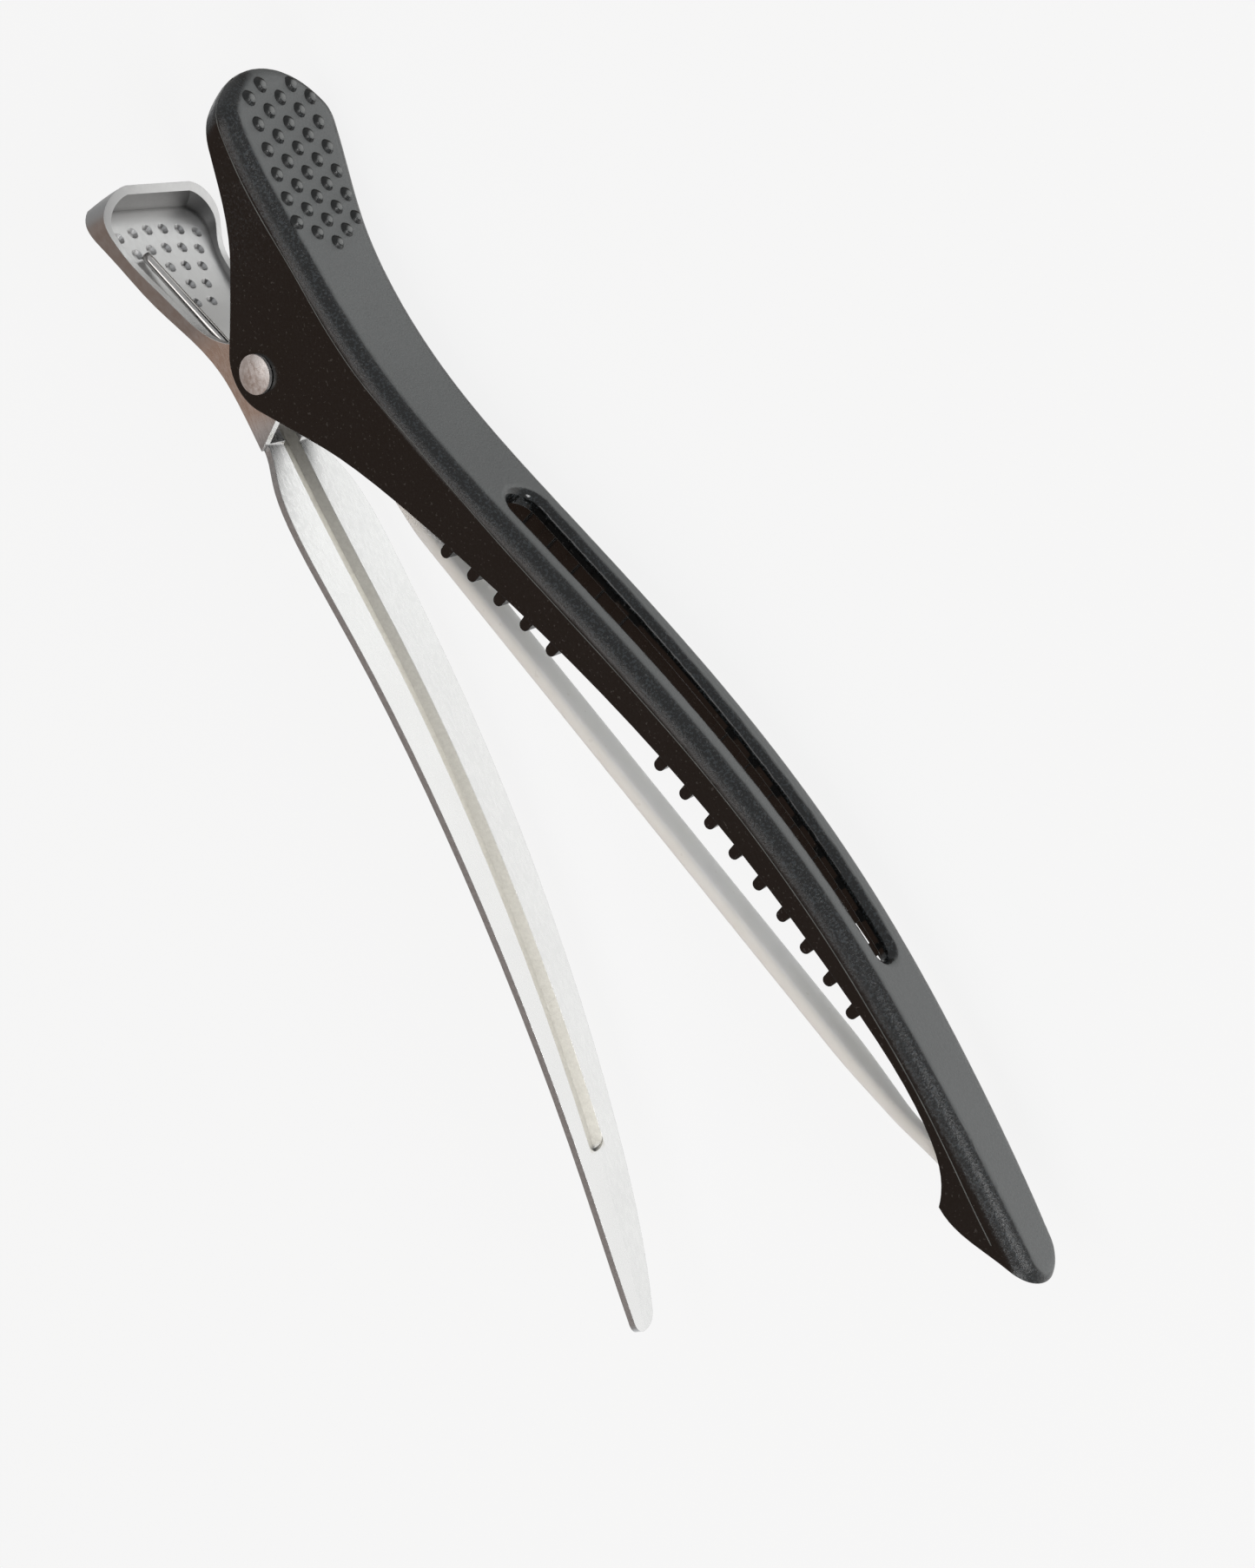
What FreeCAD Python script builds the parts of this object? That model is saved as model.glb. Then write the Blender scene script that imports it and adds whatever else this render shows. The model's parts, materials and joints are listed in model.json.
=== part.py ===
"""Hair sectioning clip: a bowed moulded jaw over a pressed aluminium lever, and an elastic band.

The clip lies on its side. +X runs from the hinge to the tips, +Y is the way that the jaw opens, +Z is up.
Both jaws are drawn closed, with the hinge axis at the origin and along Z, and the jaw is then opened.
"""
import FreeCAD, Part
import math
import os

V = FreeCAD.Vector

# Hinge and stored pose, in degrees and millimetres
open_deg = 23.4
pin_r = 1.0
pin_clearance = 0.05
side_gap = 0.3

# Moulded jaw: side view, drawn closed with the bite line along X
jaw_top = [(-20.0, 17.55), (-16.4, 15.8), (-10.9, 13.2), (-1.1, 9.8), (8.0, 8.35), (22.0, 8.65),
           (45.0, 9.8), (60.0, 8.85), (75.1, 5.8), (89.2, 1.7), (93.0, 0.35)]
jaw_under = [(80.7, -0.2), (78.8, 1.9), (75.9, 3.35), (66.0, 5.35), (48.0, 6.4), (30.4, 5.1),
             (18.0, 3.0), (12.6, 1.8), (9.2, 0.8), (5.5, -0.65), (2.6, -1.85)]
beak_under = [(93.0, 1.6), (89.2, 1.15), (86.6, 0.7), (84.4, 0.05), (82.4, -0.35), (80.7, -0.2)]
pad_under = [(-6.6, 4.85), (-8.1, 6.8), (-10.3, 8.9), (-13.1, 10.95), (-16.9, 13.4), (-20.0, 15.0)]
ear_corner = (-1.15, -3.4)
ear_corner_r = 4.0

# Moulded jaw: half-widths along its length, in plan
jaw_half = [(-14.0, 6.3), (-11.5, 6.15), (-5.0, 5.0), (0.0, 4.58), (8.0, 4.42), (22.0, 4.3),
            (40.0, 4.1), (60.0, 3.65), (80.0, 3.1), (87.0, 2.75)]
jaw_rear = -17.3
jaw_rear_corner_r = 2.6
shoulder_r = 1.45
wall = 0.95
roof = 1.3
cavity_rear = -15.8
cavity_front = 78.7

# Slot in the jaw's top, with a rounded lip
slot_rear = 20.8
slot_front = 64.9
slot_lip_r = 0.8
slot_strip = 0.35

# Comb teeth, the ends of posts that run up both walls
tooth_pitch = 2.8
rear_teeth = (21.0, 5)
front_teeth = (44.0, 9)
tooth_drop = 1.12
tooth_base = 1.25
tooth_tip_r = 0.45
tooth_inset = 0.22
tooth_depth = 1.1

# Grip domes on the thumb pad, a hexagonal lattice that ends in a point towards the hinge
dome_pitch = 1.97
dome_r = 0.5
dome_tip_r = 0.3
dome_height = 0.3
dome_root = 0.15
dome_first = -3.1
dome_rows = 14

# Pressed lever: side view of the sheet's upper face, then its half-widths in plan
sheet = 0.6
lever_top = [(-18.6, -9.7), (-14.6, -8.95), (-8.0, -6.75), (-3.0, -4.55), (1.5, -3.45), (6.0, -2.85),
             (12.0, -1.8), (24.0, 0.2), (48.0, 2.05), (66.0, 1.4), (82.0, -0.75)]
pad_half = 6.4
pad_end = -18.1
pad_slant = 0.65
blade_half = [(5.4, 3.0), (8.0, 3.95), (12.0, 4.72), (18.0, 4.66), (34.0, 4.12), (50.0, 3.55),
              (66.0, 2.75), (76.0, 1.95), (80.4, 1.3)]
rim_top = [(-19.5, -6.4), (-17.6, -7.2), (-15.4, -7.8), (-12.6, -7.8), (-10.4, -7.0), (-8.2, -6.0),
           (-5.6, -4.9), (-3.4, -2.8)]
flange_r = 2.5
flange_front = 5.6

# Pressed groove along the blade
dish = 0.13
groove_half = 0.95
groove_depth = 0.5
groove_floor = 0.3
groove_end = 66.2

# Dimples in the finger pad, in rows that shorten towards the hinge
dimple_rows = 5
dimple_longest = 6
dimple_pitch = 1.75
dimple_row_step = 1.75
dimple_r = 0.5
dimple_tip_r = 0.22
dimple_depth = 0.32
dimple_rear = -15.1

# Torsion spring
wire_d = 0.8
coil_r = 2.0
coil_turns = 3
coil_pitch = 1.24
lower_leg_end = (-12.6, -7.9)
upper_leg_end = (-12.2, 6.2)
lower_leg_spread = 1.2
upper_leg_spread = 0.8

# Rivet
head_r = 1.55
head_edge = 0.3
head_dome = 0.22
tail_r = 1.4
tail_height = 0.35

# Elastic band
band_width = 2.6
band_thick = 1.2
band_line = 0.2
band_rear_bend = 17.0
band_front_bend = 74.5
band_bend_r = 5.0
bead_r = 0.8
rear_bead = (8.4, 2.0)
band_rise = (13.0, 0.75)
front_bead = (82.6, 1.3)
band_nose_width = 1.2
band_fit = 0.1
anchor_rear = 6.9
anchor_front = 10.6

deep = 60.0


def spline(points):
    """A smooth curve in the side view through the points."""
    curve = Part.BSplineCurve()
    curve.interpolate([V(x, y, 0) for x, y in points])
    return curve


def height_on(curve, x):
    """The height of a side-view curve at a given x."""
    low = curve.FirstParameter
    high = curve.LastParameter
    rising = curve.value(high).x > curve.value(low).x
    for _ in range(50):
        middle = (low + high) / 2
        if (curve.value(middle).x < x) == rising:
            low = middle
        else:
            high = middle
    return curve.value(low).y


def normal_on(curve, x):
    """The upward unit normal of a side-view curve at a given x."""
    step = 0.05
    rise = (height_on(curve, x + step) - height_on(curve, x - step)) / (2 * step)
    return V(-rise, 1, 0).normalize()


def line(a, b):
    return Part.LineSegment(V(a[0], a[1], 0), V(b[0], b[1], 0)).toShape()


def side_solid(edges, depth=deep):
    """A side-view outline made solid across the clip's width."""
    face = Part.Face(Part.Wire(Part.__sortEdges__(edges)))
    solid = face.extrude(V(0, 0, 2 * depth))
    solid.translate(V(0, 0, -depth))
    return solid


def plan_sides(half, inset=0.0):
    """The two mirrored long edges of a plan outline, moved in by the inset."""
    sides = []
    for sign in (1, -1):
        curve = Part.BSplineCurve()
        curve.interpolate([V(x, 0, sign * (w - inset)) for x, w in half])
        sides.append(curve)
    return sides


def round_end(side):
    """The arc that closes a plan outline at the front, in one tangent with both of its sides."""
    end = side.value(side.LastParameter)
    along = side.tangent(side.LastParameter)[0]
    r = end.z / along.x
    middle = end.x + r * along.z + r
    return Part.Arc(V(end.x, 0, end.z), V(middle, 0, 0), V(end.x, 0, -end.z)).toShape()


def jaw_plan(inset=0.0):
    """The jaw's plan outline: two mirrored edges, a round nose, and a bowed rear."""
    sides = plan_sides(jaw_half, inset)
    x = jaw_half[0][0]
    w = jaw_half[0][1] - inset
    back = Part.Arc(V(x, 0, -w), V(jaw_rear + inset, 0, 0), V(x, 0, w)).toShape()
    return Part.Wire([sides[0].toShape(), round_end(sides[0]), sides[1].toShape(), back])


def plan_solid(wire):
    """A plan outline made solid over the clip's height."""
    solid = Part.Face(wire).extrude(V(0, 2 * deep, 0))
    solid.translate(V(0, -deep, 0))
    return solid


def outline_under(curve, drop):
    """The edges round everything below a side-view curve, which is lowered by drop."""
    lowered = curve.copy()
    lowered.translate(V(0, -drop, 0))
    a = lowered.value(lowered.FirstParameter)
    b = lowered.value(lowered.LastParameter)
    reach = 30.0
    start = V(a.x - reach, a.y - reach * slope_at(curve, 0), 0)
    end = V(b.x + reach, b.y + reach * slope_at(curve, 1), 0)
    return [line(start, a), lowered.toShape(), line(b, end), line(end, (end.x, -deep)),
            line((end.x, -deep), (start.x, -deep)), line((start.x, -deep), start)]


def under(curve, drop=0.0):
    """Everything below a side-view curve, which is lowered by drop."""
    return side_solid(outline_under(curve, drop))


def slope_at(curve, end):
    """The slope of a side-view curve at its first or last point."""
    tangent = curve.tangent(curve.LastParameter if end else curve.FirstParameter)[0]
    return tangent.y / tangent.x


def box(x0, x1, y0, y1, z0, z1):
    return Part.makeBox(x1 - x0, y1 - y0, z1 - z0, V(x0, y0, z0))


def across(x, y, r, half):
    """A round bar across the clip at a place in the side view."""
    return Part.makeCylinder(r, 2 * half, V(x, y, -half), V(0, 0, 1))


def half_width(points, x):
    """The plan's half-width at x."""
    curve = spline(points)
    return height_on(curve, x)


def rounded_corner(a, corner, b, r):
    """The arc of radius r that rounds the corner between a and b, with its two tangent points."""
    c = V(corner[0], corner[1], 0)
    u = (V(a[0], a[1], 0) - c).normalize()
    w = (V(b[0], b[1], 0) - c).normalize()
    half = u.getAngle(w) / 2
    run = r / math.tan(half)
    p = c + u * run
    q = c + w * run
    centre = c + (u + w).normalize() * (r / math.sin(half))
    middle = centre + (c - centre).normalize() * r
    return p, Part.Arc(p, middle, q).toShape(), q


def bent_line(points, r):
    """Straight runs through the points, with each bend rounded to r."""
    edges = []
    start = V(points[0][0], points[0][1], 0)
    for a, corner, b in zip(points, points[1:], points[2:]):
        p, arc, q = rounded_corner(a, corner, b, r)
        edges += [Part.LineSegment(start, p).toShape(), arc]
        start = q
    edges.append(Part.LineSegment(start, V(points[-1][0], points[-1][1], 0)).toShape())
    return edges


def jaw_outline():
    """Everything above the jaw's lower line in the side view: beak, edge, hinge ear and pad."""
    front_line_end = jaw_under[-1]
    rear_line_end = pad_under[0]
    p, arc, q = rounded_corner(front_line_end, ear_corner, rear_line_end, ear_corner_r)
    front = beak_under[0]
    rear = pad_under[-1]
    edges = [spline(beak_under).toShape(), spline(jaw_under).toShape(), line(front_line_end, p), arc,
             line(q, rear_line_end), spline(pad_under).toShape(), line(rear, (rear[0], deep)),
             line((rear[0], deep), (front[0], deep)), line((front[0], deep), front)]
    return side_solid(edges)


def jaw_body():
    """The outer form, with rounded shoulders all round its top, and its open underside."""
    top = spline(jaw_top)
    block = plan_solid(jaw_plan())
    corners = [e for e in block.Edges if e.BoundBox.YLength > deep and e.Vertexes[0].X < jaw_half[0][0] + 1]
    block = block.makeFillet(jaw_rear_corner_r, corners)
    block = block.common(under(top))
    shoulder = [e for e in block.Edges if e.BoundBox.YMin > -1.0]
    block = block.makeFillet(shoulder_r, shoulder)
    return block.common(jaw_outline())


def jaw_cavity():
    """The hollow under the roof, one wall inside the plan outline."""
    hollow = plan_solid(jaw_plan(wall)).common(under(spline(jaw_top), roof))
    return hollow.common(box(cavity_rear, cavity_front, -deep, deep, -deep, deep))


def slot_cutter():
    """The slot through the roof: a tapered outline with round ends."""
    margin = shoulder_r + slot_strip + slot_lip_r
    rear_w = half_width(jaw_half, slot_rear) - margin
    front_w = half_width(jaw_half, slot_front) - margin
    a = (slot_rear + rear_w, rear_w)
    b = (slot_front - front_w, front_w)
    edges = [Part.LineSegment(V(a[0], 0, a[1]), V(b[0], 0, b[1])).toShape(),
             Part.Arc(V(b[0], 0, b[1]), V(slot_front, 0, 0), V(b[0], 0, -b[1])).toShape(),
             Part.LineSegment(V(b[0], 0, -b[1]), V(a[0], 0, -a[1])).toShape(),
             Part.Arc(V(a[0], 0, -a[1]), V(slot_rear, 0, 0), V(a[0], 0, a[1])).toShape()]
    cutter = Part.Face(Part.Wire(edges)).extrude(V(0, deep, 0))
    cutter.translate(V(0, jaw_under[4][1] - 2, 0))
    return cutter


def tooth_places():
    """The x of each tooth along the bite line: two runs with a gap between them."""
    return [first + tooth_pitch * i for first, count in (rear_teeth, front_teeth) for i in range(count)]


def teeth():
    """Tapered posts on the inside of both walls, with round tips below the jaw's edge."""
    top = spline(jaw_top)
    edge = spline(jaw_under)
    posts = []
    for x in tooth_places():
        foot = height_on(edge, x) - tooth_drop
        head = height_on(top, x) - shoulder_r
        outer = half_width(jaw_half, x) - tooth_inset
        w = tooth_base / 2
        r = tooth_tip_r
        outline = [line((x - w, head), (x - r, foot + r)),
                   Part.Arc(V(x - r, foot + r, 0), V(x, foot, 0), V(x + r, foot + r, 0)).toShape(),
                   line((x + r, foot + r), (x + w, head)), line((x + w, head), (x - w, head))]
        post = Part.Face(Part.Wire(outline)).extrude(V(0, 0, tooth_depth))
        for z in (outer - tooth_depth, -outer):
            placed = post.copy()
            placed.translate(V(0, 0, z))
            posts.append(placed)
    return posts


def stud(foot, n, low_r, high_r, low, high):
    """A ten-sided stud along n, narrowing or widening between two heights over its foot."""
    rings = []
    for r, height in ((low_r, low), (high_r, high)):
        turns = [k * math.pi / 5 for k in range(11)]
        rings.append([V(r * math.cos(a), r * math.sin(a), height) for a in turns])
    faces = [Part.Face(Part.makePolygon(ring)) for ring in rings]
    for k in range(10):
        side = [rings[0][k], rings[0][k + 1], rings[1][k + 1], rings[1][k], rings[0][k]]
        faces.append(Part.Face(Part.makePolygon(side)))
    solid = Part.Solid(Part.Shell(faces))
    if solid.Volume < 0:
        solid.reverse()
    solid.Placement = FreeCAD.Placement(foot, FreeCAD.Rotation(V(0, 0, 1), n))
    return solid


def domes():
    """The grip domes, standing square to the pad's curved face."""
    top = spline(jaw_top)
    step = dome_pitch / 2 * math.cos(math.radians(open_deg))
    column = dome_pitch * math.sqrt(3) / 2
    studs = []
    for row in range(dome_rows):
        x = dome_first - row * step
        n = normal_on(top, x)
        places = (0,) if row == 0 else (-1, 1) if row % 2 else (-2, 0, 2)
        for c in places:
            foot = V(x, height_on(top, x), c * column)
            slope = (dome_r - dome_tip_r) / dome_height
            studs.append(stud(foot, n, dome_r + slope * dome_root, dome_tip_r, -dome_root, dome_height))
    return studs


def bead_pocket(bead, towards, width):
    """The pocket for the band's end bead, and the slit that its strap leaves by."""
    half = width / 2 + band_fit
    pocket = across(bead[0], bead[1], bead_r + band_fit, half)
    run = V(towards[0] - bead[0], towards[1] - bead[1], 0)
    n = V(-run.y, run.x, 0).normalize() * (band_thick / 2 + band_fit)
    a = V(bead[0], bead[1], 0)
    b = a + run
    slit = [line(a + n, b + n), line(b + n, b - n), line(b - n, a - n), line(a - n, a + n)]
    return [pocket, side_solid(slit, half)]


def make_jaw():
    """The moulded jaw, drawn closed."""
    body = jaw_body()
    hollow = body.common(jaw_cavity())
    body = body.cut(hollow)
    slot = slot_cutter()
    body = body.cut(slot)
    lip = [e for e in body.Edges if on_slot_rim(e)]
    body = body.makeFillet(slot_lip_r, lip)
    web = hollow.common(box(anchor_rear, anchor_front, -deep, deep, -deep, deep))
    body = body.fuse([web] + teeth() + domes())
    body = body.cut(bead_pocket(rear_bead, band_rise, band_width))
    body = body.cut(bead_pocket(front_bead, (band_front_bend, band_line), band_nose_width))
    body = body.cut(across(0, 0, pin_r + pin_clearance, deep))
    return body.removeSplitter()


def on_slot_rim(edge):
    """Whether an edge is part of the slot's upper rim."""
    b = edge.BoundBox
    inside = b.XMin > slot_rear - 0.1 and b.XMax < slot_front + 0.1
    narrow = max(abs(b.ZMin), abs(b.ZMax)) < half_width(jaw_half, slot_rear) - shoulder_r - slot_strip
    if not (inside and narrow):
        return False
    top = spline(jaw_top)
    middle = edge.valueAt((edge.FirstParameter + edge.LastParameter) / 2)
    return abs(middle.y - height_on(top, middle.x)) < 0.05


def flange_outer():
    """The half-width over the lever's flanges, which run inside the jaw's ears."""
    return half_width(jaw_half, 0.0) - wall - side_gap


def rear_plan(inset=0.0, front=flange_front):
    """The finger pad, neck and flanges in plan, moved in by the inset."""
    f = flange_outer() - inset
    p = pad_half - inset
    neck = -0.6
    end = pad_end + inset
    half = [(neck, f), (neck - 1.8, f + 0.12), (neck - 3.8, f + 0.45), (neck - 8.2, p - 1.55),
            (neck - 12.9, p - 0.5), (end + 2.2, p), (end + 0.5, p * 0.78)]
    ring = [V(x, 0, w) for x, w in half] + [V(end, 0, 0)] + [V(x, 0, -w) for x, w in reversed(half)]
    pad = Part.BSplineCurve()
    pad.interpolate(ring)
    edges = [Part.LineSegment(V(front, 0, f), V(neck, 0, f)).toShape(), pad.toShape(),
             Part.LineSegment(V(neck, 0, -f), V(front, 0, -f)).toShape(),
             Part.LineSegment(V(front, 0, -f), V(front, 0, f)).toShape()]
    return Part.Wire(edges)


def flange_profile():
    """The rim of the pad, the two flanges and their round heads at the hinge, in the side view."""
    rise = rim_top[-1]
    front_foot = (flange_front, height_on(spline(lever_top), flange_front) - 2 * sheet)
    rim = spline(rim_top)
    r = flange_r
    a = math.radians(196)
    b = math.radians(22)
    start = (r * math.cos(a), r * math.sin(a))
    end = (r * math.cos(b), r * math.sin(b))
    head = Part.Arc(V(start[0], start[1], 0), V(0, r, 0), V(end[0], end[1], 0)).toShape()
    edges = [rim.toShape(), line(rise, start), head, line(end, front_foot),
             line(front_foot, (front_foot[0], -deep)), line((front_foot[0], -deep), (rim_top[0][0], -deep)),
             line((rim_top[0][0], -deep), rim_top[0])]
    return side_solid(edges)


def below_sheet(drop):
    """Everything below the lever's upper face lowered by drop."""
    return under(spline(lever_top), drop)


def blade_middle():
    """The blade's middle line, which its dished wings rise from to reach lever_top at their edges."""
    line_points = []
    for x, y in lever_top:
        wide = half_width(blade_half, x) if x > blade_half[0][0] else flange_outer()
        line_points.append((x, y - dish * wide))
    return spline(line_points)


def below_slopes(drop, flat, rise, reach):
    """Everything below a flat strip along the blade's middle and a slope up on each side of it."""
    face = Part.Face(Part.Wire(Part.__sortEdges__(outline_under(blade_middle(), drop))))
    parts = []
    for side in (1, -1):
        slope = face.extrude(V(0, rise * (reach - flat), side * (reach - flat)))
        slope.translate(V(0, 0, side * flat))
        parts.append(slope)
    if flat:
        strip = face.extrude(V(0, 0, 2 * flat))
        strip.translate(V(0, 0, -flat))
        parts.append(strip)
    return parts[0].fuse(parts[1:])


def below_wings(drop):
    """Everything below the blade's dished upper face, lowered by drop."""
    return below_slopes(drop, 0, dish, pad_half)


def below_vee(drop):
    """Everything below the groove's face: a narrow flat floor and a slope up to each side."""
    rise = (groove_depth + dish * groove_half) / (groove_half - groove_floor)
    return below_slopes(drop, groove_floor, rise, groove_half + 2 * sheet)


def behind_slant(inset):
    """Everything behind the pad's rear wall, which leans back from the floor to the rim."""
    floor = height_on(spline(lever_top), pad_end + pad_slant)
    rim = height_on(spline(rim_top), pad_end)
    lean = pad_slant / (rim - floor)
    ends = [(pad_end + inset + (rim - y) * lean, y) for y in (2 * rim - floor, 2 * floor - rim)]
    back = pad_end - pad_slant * 4
    corners = ends + [(back, ends[1][1]), (back, ends[0][1])]
    return side_solid([line(a, b) for a, b in zip(corners, corners[1:] + corners[:1])])


def lever_tub():
    """The rear half: a pressed tub with a floor, a rim and two flanges, open above."""
    outer = plan_solid(rear_plan()).common(flange_profile()).cut(below_sheet(sheet)).cut(behind_slant(0))
    hollow = plan_solid(rear_plan(sheet, flange_front + 2)).cut(below_sheet(0)).cut(behind_slant(sheet))
    return outer.cut(hollow)


def blade_plan():
    """The blade in plan: it flares from the flanges, then tapers to a round tip."""
    f = flange_outer()
    half = [(flange_front - 1.6, f - 0.1)] + blade_half
    sides = plan_sides(half)
    x, w = half[0]
    back = Part.LineSegment(V(x, 0, -w), V(x, 0, w)).toShape()
    return Part.Wire([sides[0].toShape(), round_end(sides[0]), sides[1].toShape(), back])


def groove_plan(half, end):
    """The groove's outline in plan, with a round front end."""
    a = flange_front - 8.0
    edges = [Part.LineSegment(V(a, 0, half), V(end - half, 0, half)).toShape(),
             Part.Arc(V(end - half, 0, half), V(end, 0, 0), V(end - half, 0, -half)).toShape(),
             Part.LineSegment(V(end - half, 0, -half), V(a, 0, -half)).toShape(),
             Part.LineSegment(V(a, 0, -half), V(a, 0, half)).toShape()]
    return plan_solid(Part.Wire(edges))


def dimple_places():
    """The dimples' places on the finger pad, as x and z."""
    places = []
    for row in range(dimple_rows):
        count = dimple_longest - row
        x = dimple_rear + row * dimple_row_step
        for i in range(count):
            z = (i - (count - 1) / 2) * dimple_pitch
            places.append((x + 0.03 * z * z, z))
    return places


def dimple_studs(high_r, low_r, high, low):
    """One stud at each dimple, square to the pad, between two heights over its floor."""
    top = spline(lever_top)
    return [stud(V(x, height_on(top, x), z), normal_on(top, x), low_r, high_r, low, high)
            for x, z in dimple_places()]


def make_lever():
    """The pressed lever, in one sheet: pad, neck, flanges and bowed blade."""
    blade = plan_solid(blade_plan()).common(below_wings(0)).cut(below_wings(sheet))
    body = lever_tub().fuse(blade)
    lean = math.atan(groove_depth / (groove_half - groove_floor))
    rib = groove_plan(groove_half + sheet * 0.7, groove_end + sheet * 0.7)
    rib = rib.common(below_wings(sheet / 10)).cut(below_wings(groove_depth + 2 * sheet))
    rib = rib.cut(below_vee(groove_depth + sheet / math.cos(lean)))
    body = body.fuse(rib)
    body = body.cut(groove_plan(groove_half, groove_end).common(below_sheet(-5)).cut(below_vee(groove_depth)))
    flare = dimple_r - dimple_tip_r
    body = body.fuse(dimple_studs(dimple_r + flare, dimple_tip_r, -sheet / 2, -sheet - dimple_depth))
    body = body.cut(dimple_studs(dimple_r + flare, dimple_tip_r, dimple_depth, -dimple_depth))
    body = body.cut(across(0, 0, pin_r + pin_clearance, deep))
    return body.removeSplitter()


def make_rivet():
    """The hinge rivet: a low domed head above, a clenched tail below."""
    top = half_width(jaw_half, 0.0) + pin_clearance
    pin = Part.makeCylinder(pin_r, 2 * top, V(0, 0, -top))
    head = Part.makeCylinder(head_r, head_edge + head_dome, V(0, 0, top))
    ball_r = (head_r ** 2 + head_dome ** 2) / (2 * head_dome)
    head = head.common(Part.makeSphere(ball_r, V(0, 0, top + head_edge + head_dome - ball_r)))
    tail = Part.makeCone(tail_r * 0.7, tail_r, tail_height / 2, V(0, 0, -top - tail_height))
    rim = Part.makeCylinder(tail_r, tail_height / 2, V(0, 0, -top - tail_height / 2))
    return pin.fuse([head, tail, rim]).removeSplitter()


def make_band():
    """The elastic band: a straight strap whose ends rise into the jaw and end in round beads."""
    h = band_thick / 2
    path = [rear_bead, band_rise, (band_rear_bend, band_line), (band_front_bend, band_line), front_bead]
    upper = [(x, y + h) for x, y in path]
    lower = [(x, y - h) for x, y in path]
    edges = bent_line(upper, band_bend_r) + bent_line(lower, band_bend_r)
    edges += [line(upper[0], lower[0]), line(upper[-1], lower[-1])]
    strap = side_solid(edges).common(band_plan())
    long_edges = [e for e in strap.Edges if e.BoundBox.XLength > 0.05 and e.BoundBox.ZLength < 1]
    strap = strap.makeFillet(h * 0.55, long_edges)
    beads = [across(rear_bead[0], rear_bead[1], bead_r, band_width / 2),
             across(front_bead[0], front_bead[1], bead_r, band_nose_width / 2)]
    return strap.fuse(beads).removeSplitter()


def band_plan():
    """The band in plan: full width to its front bend, then narrowing into the nose."""
    w = band_width / 2
    n = band_nose_width / 2
    rear = rear_bead[0] - 2
    front = front_bead[0] + 2
    taper = (band_front_bend - 4, cavity_front - 2)
    sides = [bent_line([(rear, s * w), (taper[0], s * w), (taper[1], s * n), (front, s * n)], 2 * band_bend_r)
             for s in (1, -1)]
    edges = sides[0] + sides[1] + [line((rear, w), (rear, -w)), line((front, n), (front, -n))]
    wire = Part.Wire(Part.__sortEdges__(edges))
    wire.rotate(V(0, 0, 0), V(1, 0, 0), 90)
    return plan_solid(wire)


def smooth_turn(p0, t0, p1, t1):
    """Two arcs that leave p0 along t0, meet in one tangent, and arrive at p1 along t1."""
    chord = p1 - p0
    total = t0 + t1
    a = 4 - total.dot(total)
    b = 2 * chord.dot(total)
    c = -chord.dot(chord)
    reach = (-b + math.sqrt(b * b - 4 * a * c)) / (2 * a)
    joint = (p0 + t0 * reach + p1 - t1 * reach) * 0.5
    return [tangent_arc(p0, t0, joint), tangent_arc(p1, t1 * -1, joint)]


def tangent_arc(start, direction, end):
    """The arc from start to end that leaves along direction."""
    chord = end - start
    along = V(chord).normalize()
    angle = direction.getAngle(along)
    if angle < 1e-4:
        return Part.LineSegment(start, end).toShape()
    middle = start + (direction + along).normalize() * (chord.Length / 2 / math.cos(angle / 2))
    return Part.Arc(start, middle, end).toShape()


def tangent_point(end, side):
    """The point of the coil's circle, seen along the pin, where a straight leg to end leaves it."""
    d = math.hypot(end[0], end[1])
    heading = math.atan2(end[1], end[0])
    return heading + side * math.acos(coil_r / d)


def spring_path():
    """The wire's centre line: lower leg, coil, upper leg, with the turns as pairs of arcs."""
    start = tangent_point(lower_leg_end, 1)
    finish = tangent_point(upper_leg_end, -1)
    sweep = (finish - start) % (2 * math.pi) + 2 * math.pi * coil_turns
    steps = round(sweep / (math.pi / 2))
    rise = -coil_pitch * sweep / (2 * math.pi)
    z0 = -rise / 2

    def point(t):
        angle = start + sweep * t
        return V(coil_r * math.cos(angle), coil_r * math.sin(angle), z0 + rise * t)

    def tangent(t):
        angle = start + sweep * t
        return V(-coil_r * math.sin(angle), coil_r * math.cos(angle), rise / sweep).normalize()

    ease = 0.05
    leg_in = V(lower_leg_end[0], lower_leg_end[1], z0 + lower_leg_spread)
    leg_out = V(upper_leg_end[0], upper_leg_end[1], z0 + rise - upper_leg_spread)
    foot = V(coil_r * math.cos(start), coil_r * math.sin(start), z0)
    crown = V(coil_r * math.cos(finish), coil_r * math.sin(finish), z0 + rise)
    into = (foot - leg_in).normalize()
    out = (leg_out - crown).normalize()
    first = foot - into * coil_r / 2
    last = crown + out * coil_r / 2
    edges = [Part.LineSegment(leg_in, first).toShape()]
    edges += smooth_turn(first, into, point(ease), tangent(ease))
    span = (1 - 2 * ease) / steps
    for i in range(steps):
        a = ease + span * i
        b = a + span
        edges += smooth_turn(point(a), tangent(a), point(b), tangent(b))
    edges += smooth_turn(point(1 - ease), tangent(1 - ease), last, out)
    edges.append(Part.LineSegment(last, leg_out).toShape())
    return edges


def least_gap(edges):
    """The smallest gap of the wire to itself, measured on points along its centre line."""
    points = []
    run = 0.0
    for edge in edges:
        for p in ordered_points(edge, points):
            if points:
                run += (p - points[-1][1]).Length
            points.append((run, p))
    apart = math.pi * coil_r
    gaps = [(p - q).Length for i, (s, p) in enumerate(points) for t, q in points[i + 1:] if t - s > apart]
    return min(gaps) - wire_d


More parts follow.
